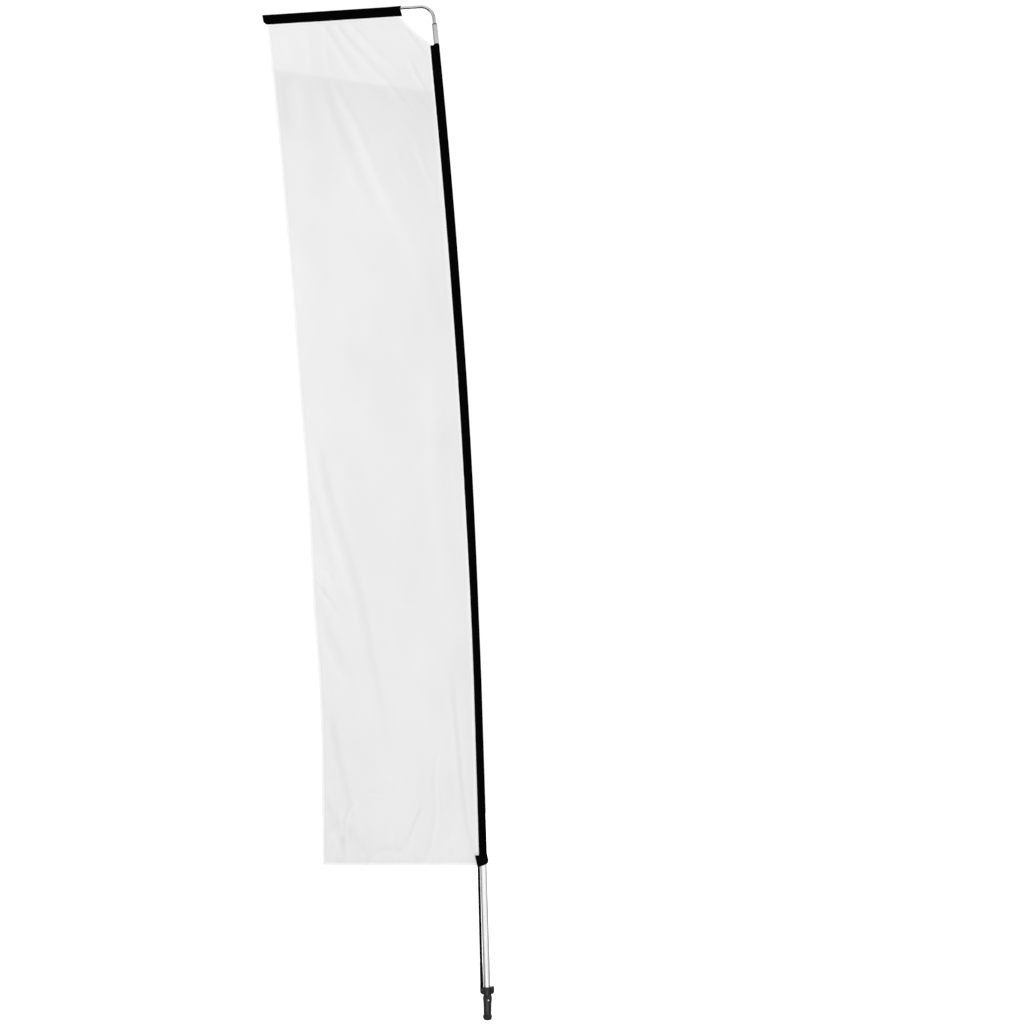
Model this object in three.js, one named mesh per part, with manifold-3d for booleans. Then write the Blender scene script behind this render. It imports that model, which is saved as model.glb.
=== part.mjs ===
// A four-metre banner on a bowed telescopic pole with a bent top arm, ready to drop on a base's spigot.
// Millimetres, +Z up, the front of the banner facing -Y and the banner lying towards -X of the pole.
// The origin is the centre of the coupling's foot, on the axis of the spigot.
import * as THREE from "three";
import { mergeVertices } from "three/addons/utils/BufferGeometryUtils.js";
import Module from "manifold-3d";

const wasm = await Module();
wasm.setup();

// ---------------------------------------------------------------- driving dimensions

const HEIGHT = 4000; // top of the arm's bend
const GAP = 0.3; // running gap between pieces that touch

// The pole's axis crosses the spigot's axis at CROSS_Z, runs straight, then bows towards the banner.
const CROSS_Z = 80;
const LEAN = 0.03; // radians from upright along the straight part
const STRAIGHT = 1220; // straight length above the crossing
const BOW_RADIUS = 37000;
const POLE_LENGTH = 3850; // crossing to the top tube's end, along the axis

// Telescopic tubes: outer and inner radius, and where they start and end along the pole.
const LOWER = { outer: 12.5, inner: 11.5, from: -23, to: 960 };
const MIDDLE = { outer: 11, inner: 10, from: 740, to: 2400 };
const UPPER = { outer: 9.7, inner: 8.7, from: 2250, to: POLE_LENGTH };

// Coupling and the liner that turns inside it.
const SPIGOT_BORE = 9.75;
const SOCKET_DEPTH = 46;
const LINER_RADIUS = 11.5;
const LINER_TOP = 49;
const FLANGE = { radius: 14.4, thick: 1.6, chamfer: 0.5 };
const SNAP_BEAD = { z: 27, rise: 0.7, half: 1.6 };
const COUPLING_FOOT = 3.2;
const COUPLING_TOP = 97.2;
const SEPTUM = { from: 50, to: 56, hole: 7 };
// The coupling's outside from foot to rim, as [radius, height] pairs.
const COUPLING_OUTLINE = [
  [15.9, COUPLING_FOOT],
  [18, 8.5],
  [17, 14.5],
  [15.3, 20],
  [15.5, 36],
  [16.1, 62],
  [16.9, 74],
  [18, 84],
  [16.8, 91],
  [14.9, COUPLING_TOP],
];

// Snap button, in the pole's own frame.
const BUTTON = { s: -1, turn: 0.26, radius: 3.5, foot: 9.4, tip: 18.8, rim: 0.7, rimThick: 0.9, dome: 1.8 };
const LEAF = { thick: 0.6, wide: 7, foot: -5, top: 24, middle: 1.5 };

// Hook collar, in the pole's own frame.
const COLLAR = { from: 18, to: 48.6, radius: 15.2, bore: 12.8 };
const LUG = { reach: 28, half: 9, plate: 5.6, slot: 21.4, slotRadius: 5.2, channel: 3.5 };
// The pocket under a lug's plate is open at the front and closed by a wall at the back.
const POCKET = { inner: 16.6, rim: 1.8, floor: 7, back: 1.6 };
const STOP = { half: 4.4, high: 9, long: 14.6, round: 2 };

// Tension cord.
const CORD_RADIUS = 4.8;
const CORD_TOP = new THREE.Vector3(-34.3, 0, 599.4);

// Cap over a tube's mouth, and the plug and split ring that lock the next tube's foot.
const CAP = { skirt: 22, lip: 3.2, wall: 0.6, chamfer: 0.6 };
const LOCK = { foot: -46, ringFrom: -41, ringTo: -5, top: 40, chamfer: 1.2, stem: 0.55, split: 4 };

// Top arm.
const ARM = { outer: 6.25, inner: 5.05, bend: 50, droop: 0.064, insert: 84, tip: 880 };

// Fabric. Sleeve sections are a round bore with a flat tail on the banner's side.
const POLE_SLEEVE = { from: 571, to: 3776, bore: 14.1, wall: 0.6, tail: 21 };
const ARM_SLEEVE = { start: 343, end: 884, bore: 7.6, wall: 0.6, tail: 33.2 };
const TAIL_RADIUS = 1.3;
const PANEL = { thick: 1, foot: 607, chamferX: 352, chamferZ: 3846, topGap: 3 };
const CHAMFER_BELLY = [-296, 3897]; // pulls the cut corner's edge slightly hollow
const NOTCH = { x: -54, top: 660, gap: 4 }; // the foot's right end stops short of the patch
// The banner's free edge, from its foot to its top, as [x, z] pairs.
const FREE_EDGE = [
  [-652, 607],
  [-653, 862],
  [-660, 1256],
  [-688, 1651],
  [-708, 2045],
  [-737, 2440],
  [-769, 2834],
  [-803, 3228],
  [-840, 3623],
  [-868, 3906],
];
const PATCH = { wide: 49, high: 43, thick: 31, tilt: 0.27, corner: 5, x: -22.5, z: 630 };

const TURNS = 20; // sides of a turned piece
const ROUND = TURNS / 2; // an arc's divisions, half the sides of a round extrusion
const COARSE = 7; // the same for sleeves, and for the arm and cord
const SLIM = 5;

// ---------------------------------------------------------------- materials

const material = (color, roughness, metalness) =>
  new THREE.MeshStandardMaterial({ color, roughness, metalness });
const aluminium = material(0xd9dadb, 0.35, 1);
const polished = material(0xe2e3e4, 0.12, 1);
const springSteel = material(0xb9bbbd, 0.25, 1);
const blackPlastic = material(0x2c2c2d, 0.55, 0);
const naturalPlastic = material(0xe6e4dd, 0.5, 0);
const blackWebbing = material(0x0c0c0d, 0.85, 0);
const whitePolyester = material(0xf1f1f0, 0.8, 0);

// ---------------------------------------------------------------- helpers

// Turns a closed geometry into a manifold-3d solid.
function solid(geometry) {
  const plain = geometry.clone();
  plain.deleteAttribute("normal");
  plain.deleteAttribute("uv");
  const merged = mergeVertices(plain, 1e-4);
  const vertProperties = new Float32Array(merged.attributes.position.array);
  const triVerts = new Uint32Array(merged.index.array);
  return new wasm.Manifold(new wasm.Mesh({ numProp: 3, vertProperties, triVerts }));
}

// Turns a manifold-3d solid back into a geometry.
function geometryOf(body) {
  const made = body.getMesh();
  const geometry = new THREE.BufferGeometry();
  geometry.setAttribute("position", new THREE.BufferAttribute(new Float32Array(made.vertProperties), 3));
  geometry.setIndex(new THREE.BufferAttribute(new Uint32Array(made.triVerts), 1));
  geometry.computeVertexNormals();
  return geometry;
}

// A turned solid about +Z from [radius, height] pairs, its outer wall listed upwards.
function turned(profile) {
  const points = profile.map(([r, z]) => new THREE.Vector2(r, z));
  return new THREE.LatheGeometry(points, TURNS).rotateX(Math.PI / 2);
}

// A turned ring: the profile is closed on itself.
function turnedRing(outer, inner, from, to) {
  return turned([
    [inner, to],
    [inner, from],
    [outer, from],
    [outer, to],
    [inner, to],
  ]);
}

// A shape in the XZ plane given depth along Y, half on each side of the plane.
function plate(shape, depth) {
  const geometry = new THREE.ExtrudeGeometry(shape, { depth, bevelEnabled: false, curveSegments: ROUND });
  return geometry.rotateX(Math.PI / 2).translate(0, depth / 2, 0);
}

// A box of size [x, y, z] centred on a point.
function block(size, x, y, z) {
  return new THREE.BoxGeometry(...size).translate(x, y, z);
}

// A cylinder along +Z.
function rod(radius, from, to) {
  const geometry = new THREE.CylinderGeometry(radius, radius, to - from, TURNS);
  return geometry.rotateX(Math.PI / 2).translate(0, 0, (from + to) / 2);
}

// Lean of the pole at a distance along its axis.
function poleLean(s) {
  return LEAN + Math.max(0, s - STRAIGHT) / BOW_RADIUS;
}

// Point on the pole's axis at a distance from the crossing.
function polePoint(s, target = new THREE.Vector3()) {
  const run = Math.min(s, STRAIGHT);
  const lean = poleLean(s);
  const x = -Math.sin(LEAN) * run + (Math.cos(lean) - Math.cos(LEAN)) * BOW_RADIUS;
  const z = CROSS_Z + Math.cos(LEAN) * run + (Math.sin(lean) - Math.sin(LEAN)) * BOW_RADIUS;
  return target.set(x, 0, z);
}

class PoleCurve extends THREE.Curve {
  constructor(from, to) {
    super();
    this.from = from;
    this.to = to;
  }
  getPoint(t, target) {
    return polePoint(this.from + t * (this.to - this.from), target);
  }
}

// A group whose own +Z runs along the pole, with its origin at distance s.
function poleFrame(s) {
  const group = new THREE.Group();
  group.position.copy(polePoint(s));
  group.rotation.y = -poleLean(s);
  return group;
}

// A round tube or rod section.
function roundSection(outer, inner) {
  const shape = new THREE.Shape();
  shape.absarc(0, 0, outer, 0, Math.PI * 2);
  if (inner) {
    const hole = new THREE.Path();
    hole.absarc(0, 0, inner, 0, Math.PI * 2);
    shape.holes.push(hole);
  }
  return shape;
}

// A sleeve section: a bore with a wall round it and a tapered tail that reaches tail from the axis.
// An extrusion along a curve in the XZ plane lays a section's +Y to the right of the curve.
function sleeveSection({ bore, wall, tail }) {
  const outer = bore + wall;
  const reach = tail - TAIL_RADIUS;
  const flank = Math.acos((outer - TAIL_RADIUS) / reach);
  const shape = new THREE.Shape();
  const down = -Math.PI / 2;
  shape.absarc(0, 0, outer, down + flank, down - flank + Math.PI * 2);
  shape.absarc(0, -reach, TAIL_RADIUS, down - flank, down + flank);
  const hole = new THREE.Path();
  hole.absarc(0, 0, bore, 0, Math.PI * 2);
  shape.holes.push(hole);
  return shape;
}

function swept(section, path, steps, sides = ROUND) {
  const options = { extrudePath: path, steps, curveSegments: sides, bevelEnabled: false };
  return new THREE.ExtrudeGeometry(section, options);
}

const flag = new THREE.Group();
const foot = poleFrame(0);
flag.add(foot);

function piece(parent, name, geometry, look) {
  const mesh = new THREE.Mesh(geometry, look);
  mesh.name = name;
  parent.add(mesh);
  return mesh;
}

// ---------------------------------------------------------------- spigot liner and coupling

// A blind bush that stays on the base's spigot while the coupling turns round it.
function spigotLiner() {
  const { z, rise, half } = SNAP_BEAD;
  return turned([
    [0, SOCKET_DEPTH],
    [SPIGOT_BORE, SOCKET_DEPTH],
    [SPIGOT_BORE, 0],
    [FLANGE.radius - FLANGE.chamfer, 0],
    [FLANGE.radius, FLANGE.chamfer],
    [FLANGE.radius, FLANGE.thick],
    [LINER_RADIUS, FLANGE.thick],
    [LINER_RADIUS, z - half],
    [LINER_RADIUS + rise, z - half / 3],
    [LINER_RADIUS + rise, z + half / 3],
    [LINER_RADIUS, z + half],
    [LINER_RADIUS, LINER_TOP - 1],
    [LINER_RADIUS - 1, LINER_TOP],
    [0, LINER_TOP],
  ]);
}

function thrustWasher() {
  return turnedRing(FLANGE.radius - 0.7, LINER_RADIUS + 0.8, FLANGE.thick + GAP, COUPLING_FOOT - GAP);
}

// The button's own line: out of the pole's axis through the tube and the coupling.
function buttonLine(geometry) {
  return geometry.rotateX(Math.PI / 2).rotateZ(BUTTON.turn).translate(0, 0, BUTTON.s);
}

// A geometry made in the pole's own frame, moved to the flag's frame.
function fromFoot(geometry) {
  foot.updateMatrix();
  return geometry.applyMatrix4(foot.matrix);
}

function coupling() {
  const { hole } = SEPTUM;
  const { z, rise, half } = SNAP_BEAD;
  const bore = LINER_RADIUS + 0.5;
  const grooveHalf = half + 0.7;
  const outline = new THREE.SplineCurve(COUPLING_OUTLINE.map(([r, h]) => new THREE.Vector2(r, h)));
  const body = turned([
    [hole, COUPLING_TOP],
    [hole, SEPTUM.from],
    [bore, SEPTUM.from],
    [bore, z + grooveHalf + rise],
    [bore + rise, z + grooveHalf],
    [bore + rise, z - grooveHalf],
    [bore, z - grooveHalf - rise],
    [bore, COUPLING_FOOT],
    ...outline.getPoints(14).map((p) => [p.x, p.y]),
    [hole, COUPLING_TOP],
  ]);
  const socket = fromFoot(rod(LOWER.outer + GAP, SEPTUM.to - CROSS_Z, COLLAR.from));
  const button = fromFoot(buttonLine(rod(BUTTON.radius + GAP, 0, BUTTON.tip)));
  return geometryOf(solid(body).subtract(solid(socket)).subtract(solid(button)));
}

piece(flag, "spigot_liner", spigotLiner(), blackPlastic);
piece(flag, "thrust_washer", thrustWasher(), blackPlastic);
piece(flag, "coupling", coupling(), blackPlastic);

// ---------------------------------------------------------------- snap button

function snapButton() {
  const { radius, foot: low, tip, rim, rimThick, dome } = BUTTON;
  const profile = [
    [0, low],
    [radius + rim, low],
    [radius + rim, low + rimThick],
    [radius, low + rimThick],
  ];
  const rings = 3;
  for (let i = 0; i <= rings; i++) {
    const turn = (i / rings) * (Math.PI / 2);
    profile.push([radius * Math.cos(turn), tip - dome + dome * Math.sin(turn)]);
  }
  profile[profile.length - 1][0] = 0;
  return buttonLine(turned(profile));
}

// A hairpin leaf: one leg behind the button, the other on the far side of the tube.
function buttonLeaf() {
  const { thick, wide, foot: low, top: high, middle } = LEAF;
  const face = BUTTON.foot - GAP;
  const outer = face - middle;
  const shape = new THREE.Shape();
  shape.moveTo(face, low);
  shape.lineTo(face, high);
  shape.absarc(middle, high, outer, 0, Math.PI);
  shape.lineTo(middle - outer, 0);
  shape.lineTo(middle - outer + thick, 0);
  shape.absarc(middle, high, outer - thick, Math.PI, 0, true);
  shape.lineTo(face - thick, low);
  return plate(shape, wide).rotateZ(BUTTON.turn - Math.PI / 2).translate(0, 0, BUTTON.s);
}

piece(foot, "snap_button", snapButton(), polished);
piece(foot, "button_leaf", buttonLeaf(), springSteel);

// ---------------------------------------------------------------- hook collar and cord

// One lug's outline in the XZ plane, on the +X side: flat top, rounded outer corner, swept underside.
function lugOutline(inner, outer, top, bottom, corner) {
  const shoulder = bottom + (top - bottom) * 0.55;
  const shape = new THREE.Shape();
  shape.moveTo(inner, bottom);
  shape.quadraticCurveTo(outer, bottom + 2, outer, shoulder);
  shape.lineTo(outer, top - corner);
  shape.quadraticCurveTo(outer, top, outer - corner, top);
  shape.lineTo(inner, top);
  return shape;
}

// A ring on the tube with a pocketed lug on each side; a slot in each lug's top takes the cord.
function hookCollar() {
  const { from, to, radius, bore } = COLLAR;
  const { reach, half, plate: lip, slot, slotRadius, channel } = LUG;
  const root = bore - 2;
  const outline = lugOutline(root, reach, to, from + 1.5, 2);
  const pocket = lugOutline(POCKET.inner, reach - POCKET.rim, to - lip, from + POCKET.floor, 1.5);
  const lug = solid(plate(outline, half * 2))
    .subtract(solid(plate(pocket, half * 2).translate(0, -POCKET.back, 0)))
    .subtract(solid(rod(slotRadius, to - lip - 1, to + 1).translate(slot, 0, 0)))
    .subtract(solid(block([channel * 2, half + 1, lip + 2], slot, -(half + 1) / 2, to - lip / 2)));
  const body = solid(turnedRing(radius, bore, from, to)).add(lug).add(lug.mirror([1, 0, 0]));
  return geometryOf(body.subtract(solid(rod(bore, from - 1, to + 1))));
}

// Bar at the cord's end, too long to pass the slot.
const cordStopTop = COLLAR.to - LUG.plate - GAP;
function cordStop() {
  const { half, high, long, round } = STOP;
  const outline = new THREE.Shape();
  outline.moveTo(-half, -high);
  outline.lineTo(half, -high);
  outline.lineTo(half, -round);
  outline.quadraticCurveTo(half, 0, half - round, 0);
  outline.lineTo(round - half, 0);
  outline.quadraticCurveTo(-half, 0, -half, -round);
  return plate(outline, long).translate(-LUG.slot, -POCKET.back / 2 + GAP, cordStopTop);
}

// The cord runs straight from the patch's corner down to its stop in the left lug.
function tensionCord() {
  const end = new THREE.Vector3(-LUG.slot, 0, cordStopTop + GAP).applyMatrix4(foot.matrix);
  const path = new THREE.LineCurve3(end, CORD_TOP);
  return swept(roundSection(CORD_RADIUS), path, 20, SLIM);
}

piece(foot, "hook_collar", hookCollar(), blackPlastic);
piece(foot, "cord_stop", cordStop(), blackPlastic);
piece(flag, "tension_cord", tensionCord(), blackWebbing);

// ---------------------------------------------------------------- telescopic tubes and locks

function poleTube({ outer, inner, from, to }, steps) {
  return swept(roundSection(outer, inner), new PoleCurve(from, to), steps);
}

function lowerTube() {
  const hole = fromFoot(buttonLine(rod(BUTTON.radius + GAP, 0, BUTTON.tip)));
  return geometryOf(solid(poleTube(LOWER, 1)).subtract(solid(hole)));
}

// A cap over a tube's mouth that centres the next tube.
function mouthCollar(tube, next) {
  const skirt = tube.outer + GAP;
  const hole = next.outer + GAP;
  const outer = skirt + CAP.wall;
  return turned([
    [skirt, GAP],
    [skirt, -CAP.skirt],
    [outer, -CAP.skirt],
    [outer, CAP.lip - CAP.chamfer],
    [outer - CAP.chamfer, CAP.lip],
    [hole, CAP.lip],
    [hole, GAP],
    [skirt, GAP],
  ]);
}

// A plug in the foot of a tube with a stem below it for the lock ring.
function lockCore(tube) {
  const plug = tube.inner - GAP;
  const stem = tube.inner * LOCK.stem;
  return turned([
    [0, LOCK.foot],
    [tube.outer - LOCK.chamfer, LOCK.foot],
    [tube.outer, LOCK.foot + LOCK.chamfer],
    [tube.outer, LOCK.ringFrom],
    [stem, LOCK.ringFrom],
    [stem, LOCK.ringTo],
    [tube.outer, LOCK.ringTo],
    [tube.outer, -GAP],
    [plug, -GAP],
    [plug, LOCK.top - LOCK.chamfer],
    [plug - LOCK.chamfer, LOCK.top],
    [0, LOCK.top],
  ]);
}

// A split ring round the stem that grips the tube outside it.
function lockRing(tube, host) {
  const stem = tube.inner * LOCK.stem + GAP;
  const ring = solid(turnedRing(host.inner - GAP, stem, LOCK.ringFrom + GAP, LOCK.ringTo - GAP));
  const split = solid(block([LOCK.split, host.inner * 2, -2 * LOCK.foot], 0, -host.inner, 0));
  return geometryOf(ring.subtract(split));
}

function addStage(name, tube, next) {
  const mouth = poleFrame(tube.to);
  piece(mouth, name + "_mouth_collar", mouthCollar(tube, next), blackPlastic);
  const lock = poleFrame(next.from);
  piece(lock, name + "_lock_core", lockCore(next), blackPlastic);
  piece(lock, name + "_lock_ring", lockRing(next, tube), naturalPlastic);
  flag.add(mouth, lock);
}

piece(flag, "lower_tube", lowerTube(), aluminium);
piece(flag, "middle_tube", poleTube(MIDDLE, 8), aluminium);
piece(flag, "upper_tube", poleTube(UPPER, 8), aluminium);
addStage("lower", LOWER, MIDDLE);
addStage("middle", MIDDLE, UPPER);

// ---------------------------------------------------------------- top arm

const top = poleFrame(POLE_LENGTH);
flag.add(top);
const topPoint = polePoint(POLE_LENGTH);
const topLean = poleLean(POLE_LENGTH);
const legDirection = new THREE.Vector3(-Math.sin(topLean), 0, Math.cos(topLean));
const armDirection = new THREE.Vector3(-Math.cos(ARM.droop), 0, -Math.sin(ARM.droop));
const bendTurn = Math.PI / 2 - topLean + ARM.droop;
const bendReach = ARM.bend * Math.tan(bendTurn / 2);
const bendEndZ = HEIGHT - ARM.outer - ARM.bend * (1 - Math.cos(ARM.droop));
const cornerZ = bendEndZ + Math.sin(ARM.droop) * bendReach;
const legLength = (cornerZ - topPoint.z) / legDirection.z;
const corner = topPoint.clone().addScaledVector(legDirection, legLength);
const armLength = (ARM.tip + corner.x) / -armDirection.x;

// The arm's axis: a leg out of the pole, a round bend, and the straight arm.
class ArmCurve extends THREE.Curve {
  constructor() {
    super();
    this.leg = ARM.insert + legLength - bendReach;
    this.bend = ARM.bend * bendTurn;
    this.total = this.leg + this.bend + armLength - bendReach;
  }
  getPoint(t, target = new THREE.Vector3()) {
    const along = t * this.total;
    if (along <= this.leg) {
      return target.copy(topPoint).addScaledVector(legDirection, along - ARM.insert);
    }
    if (along >= this.leg + this.bend) {
      return target.copy(corner).addScaledVector(armDirection, bendReach + along - this.leg - this.bend);
    }
    const turn = (along - this.leg) / ARM.bend;
    const side = new THREE.Vector3(-legDirection.z, 0, legDirection.x);
    target.copy(corner).addScaledVector(legDirection, -bendReach);
    target.addScaledVector(legDirection, Math.sin(turn) * ARM.bend);
    return target.addScaledVector(side, (1 - Math.cos(turn)) * ARM.bend);
  }
}

// A blind bush in the top tube that the arm's leg stands and turns in.
function armSocketBush() {
  const bore = ARM.outer + GAP;
  const outer = UPPER.inner - GAP;
  const floor = -ARM.insert - 1.5;
  const lip = 4;
  return turned([
    [0, floor],
    [bore, floor],
    [bore, lip],
    [UPPER.outer - 1, lip],
    [UPPER.outer, lip - 1],
    [UPPER.outer, GAP],
    [outer, GAP],
    [outer, floor - 2],
    [outer - 1, floor - 3],
    [0, floor - 3],
  ].reverse());
}

function armFootPlug() {
  return turned([
    [0, -ARM.insert - 1.1],
    [ARM.outer - 0.6, -ARM.insert - 1.1],
    [ARM.outer - 0.4, -ARM.insert - GAP],
    [ARM.inner - GAP, -ARM.insert - GAP],
    [ARM.inner - GAP, 14 - ARM.insert],
    [0, 14 - ARM.insert],
  ]);
}

function armTipCap() {
  const bore = ARM.outer + GAP;
  const outer = bore + 0.55;
  const cap = turned([
    [0, GAP],
    [bore, GAP],
    [bore, -14],
    [outer, -14],
    [outer, 1.6],
    [outer - 1, 2.6],
    [0, 2.6],
  ]);
  const tip = corner.clone().addScaledVector(armDirection, armLength);
  return cap.rotateY(-Math.PI / 2 - ARM.droop).translate(tip.x, tip.y, tip.z);
}

piece(top, "arm_socket_bush", armSocketBush(), blackPlastic);
piece(top, "arm_foot_plug", armFootPlug(), blackPlastic);
piece(flag, "top_arm", swept(roundSection(ARM.outer, ARM.inner), new ArmCurve(), 40, SLIM), polished);
piece(flag, "arm_tip_cap", armTipCap(), blackPlastic);

// ---------------------------------------------------------------- fabric

// A point on the arm's axis at a distance left of the spigot's axis.
function armPointAt(left) {
  const along = (left + corner.x) / -armDirection.x;
  return corner.clone().addScaledVector(armDirection, along);
}

function armSleeve() {
  const from = armPointAt(ARM_SLEEVE.start);
  const to = armPointAt(ARM_SLEEVE.end + 4);
  return swept(sleeveSection(ARM_SLEEVE), new THREE.LineCurve3(from, to), 1, COARSE);
}

function poleSleeve() {
  const path = new PoleCurve(POLE_SLEEVE.from, POLE_SLEEVE.to);
  return swept(sleeveSection(POLE_SLEEVE), path, 12, COARSE);
}

// Distance along the pole of a height, by halving.
function poleDistanceAt(z) {
  let low = 0;
  let high = POLE_LENGTH;
  for (let i = 0; i < 40; i++) {
    const middle = (low + high) / 2;
    if (polePoint(middle).z < z) {
      low = middle;
    } else {
      high = middle;
    }
  }
  return low;
}

// A point beside the pole's axis, square to it, at the height of the axis point.
function besidePole(z, away) {
  const s = poleDistanceAt(z);
  const lean = poleLean(s);
  const point = polePoint(s);
  return new THREE.Vector2(point.x - away * Math.cos(lean), point.z - away * Math.sin(lean));
}

// The banner: its right edge follows the pole's sleeve, its top edge hangs below the arm's sleeve,
// and the corner between pole and arm is cut off along a hollow curve.
function flagPanel() {
  const edge = POLE_SLEEVE.tail + GAP;
  const hang = ARM_SLEEVE.tail + PANEL.topGap;
  const sleeveStart = NOTCH.top + NOTCH.gap;
  const stations = 16;
  const shape = new THREE.Shape();
  shape.moveTo(FREE_EDGE[0][0], PANEL.foot);
  shape.lineTo(NOTCH.x, PANEL.foot);
  shape.lineTo(NOTCH.x, NOTCH.top);
  for (let i = 0; i <= stations; i++) {
    const z = sleeveStart + (i / stations) * (PANEL.chamferZ - sleeveStart);
    const point = besidePole(z, edge);
    shape.lineTo(point.x, point.y);
  }
  const chamferEnd = armPointAt(PANEL.chamferX);
  shape.quadraticCurveTo(...CHAMFER_BELLY, chamferEnd.x, chamferEnd.z - hang);
  const freeEdge = new THREE.SplineCurve(FREE_EDGE.map(([x, z]) => new THREE.Vector2(x, z)));
  for (const point of freeEdge.getPoints(stations).reverse()) {
    shape.lineTo(point.x, point.y);
  }
  return plate(shape, PANEL.thick);
}

// Webbing folded round the sleeve's foot, tilted, with the cord sewn into its lower corner.
function tackPatch() {
  const { wide, high, thick, tilt, corner, x, z } = PATCH;
  const shape = new THREE.Shape();
  shape.moveTo(-wide / 2, -high / 2);
  shape.lineTo(wide / 2 - corner, -high / 2);
  shape.quadraticCurveTo(wide / 2, -high / 2, wide / 2, corner - high / 2);
  shape.lineTo(wide / 2, high / 2);
  shape.lineTo(-wide / 2, high / 2);
  const body = plate(shape, thick).rotateY(-tilt).translate(x, 0, z);
  const seam = POLE_SLEEVE.from - GAP; // along the pole, where the sleeve's foot stands on the patch
  const bore = fromFoot(rod(POLE_SLEEVE.bore, seam - 2 * high, seam + high));
  const above = fromFoot(block([4 * wide, 2 * wide, high], 0, 0, seam + high / 2));
  return geometryOf(solid(body).subtract(solid(bore)).subtract(solid(above)));
}

piece(flag, "pole_sleeve", poleSleeve(), blackWebbing);
piece(flag, "arm_sleeve", armSleeve(), blackWebbing);
piece(flag, "flag_panel", flagPanel(), whitePolyester);
piece(flag, "tack_patch", tackPatch(), blackWebbing);

export default flag;
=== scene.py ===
"""Looks for a feather flag on a bowed telescopic pole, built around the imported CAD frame.

Lengths are in millimetres in the frame's axes, and become metres as each mesh is made. The
front of the flag faces -Y and the cloth lies towards -X of the pole.
"""

import math

import bmesh
import bpy
import numpy as np
from mathutils import Matrix, Vector, noise


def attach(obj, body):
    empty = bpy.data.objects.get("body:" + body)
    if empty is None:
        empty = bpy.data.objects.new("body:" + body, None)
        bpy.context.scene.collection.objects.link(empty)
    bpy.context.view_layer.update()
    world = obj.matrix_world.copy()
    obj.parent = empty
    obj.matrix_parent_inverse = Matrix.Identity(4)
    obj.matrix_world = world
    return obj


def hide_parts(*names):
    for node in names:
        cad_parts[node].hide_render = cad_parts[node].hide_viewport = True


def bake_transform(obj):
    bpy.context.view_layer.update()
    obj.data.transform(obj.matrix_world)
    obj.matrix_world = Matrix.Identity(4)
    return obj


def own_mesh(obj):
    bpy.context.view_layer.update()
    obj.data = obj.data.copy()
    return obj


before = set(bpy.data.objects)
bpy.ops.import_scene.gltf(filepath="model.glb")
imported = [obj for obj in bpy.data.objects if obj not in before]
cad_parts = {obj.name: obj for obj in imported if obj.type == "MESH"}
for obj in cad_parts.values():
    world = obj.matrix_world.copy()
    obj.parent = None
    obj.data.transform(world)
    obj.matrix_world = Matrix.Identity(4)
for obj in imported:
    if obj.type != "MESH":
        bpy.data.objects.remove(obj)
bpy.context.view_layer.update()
scene = bpy.context.scene

# ---- camera

FRAME_WIDE = 4.040  # what the picture spans at the flag, in metres
AWAY = 7.3
camera = bpy.data.objects.new("camera", bpy.data.cameras.new("camera"))
camera.data.lens = AWAY * camera.data.sensor_width / FRAME_WIDE
camera.data.clip_end = 100
camera.location = (0.0967, -AWAY, 2.0013)
camera.rotation_euler = (math.pi / 2, 0, 0)
scene.collection.objects.link(camera)
scene.camera = camera

# ---- the CAD's own lines

HEIGHT = 4000
CROSS_Z = 80  # where the pole's line crosses the spigot's axis
LEAN = 0.03
STRAIGHT = 1220  # how far up the pole is straight; it bows above
BOW_RADIUS = 37000
POLE_LENGTH = 3850
GAP = 0.3
LOWER = (12.5, 11.5, -23, 960)  # outer and inner radius, and ends along the pole
UPPER = (9.7, 8.7, 2250, POLE_LENGTH)
ARM_RADIUS = 6.25
ARM_BORE = 5.05
ARM_BEND = 50
ARM_DROOP = 0.064
ARM_INSERT = 84
ARM_TIP = 880
PANEL_FOOT = 607
CHAMFER_X = 352
CHAMFER_Z = 3846


def pole_lean(s):
    return LEAN + np.maximum(0, s - STRAIGHT) / BOW_RADIUS


def pole_point(s):
    """Points on the pole's axis at distances from the crossing of the two axes."""
    s = np.asarray(s, float)
    run = np.minimum(s, STRAIGHT)
    lean = pole_lean(s)
    x = -math.sin(LEAN) * run + (np.cos(lean) - math.cos(LEAN)) * BOW_RADIUS
    z = CROSS_Z + math.cos(LEAN) * run + (np.sin(lean) - math.sin(LEAN)) * BOW_RADIUS
    return np.stack([x, np.zeros_like(x), z], -1)


TOP_LEAN = float(pole_lean(POLE_LENGTH))
top_point = pole_point(POLE_LENGTH)
leg_way = np.array([-math.sin(TOP_LEAN), 0, math.cos(TOP_LEAN)])
arm_way = np.array([-math.cos(ARM_DROOP), 0, -math.sin(ARM_DROOP)])
bend_turn = math.pi / 2 - TOP_LEAN + ARM_DROOP
bend_reach = ARM_BEND * math.tan(bend_turn / 2)
bend_end_z = HEIGHT - ARM_RADIUS - ARM_BEND * (1 - math.cos(ARM_DROOP))
corner_z = bend_end_z + math.sin(ARM_DROOP) * bend_reach
leg_length = (corner_z - top_point[2]) / leg_way[2]
corner = top_point + leg_way * leg_length
arm_length = (ARM_TIP + corner[0]) / -arm_way[0]


def arm_point(left):
    """A point on the arm's axis at a distance left of the spigot's axis."""
    return corner + arm_way * (left + corner[0]) / -arm_way[0]


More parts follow.
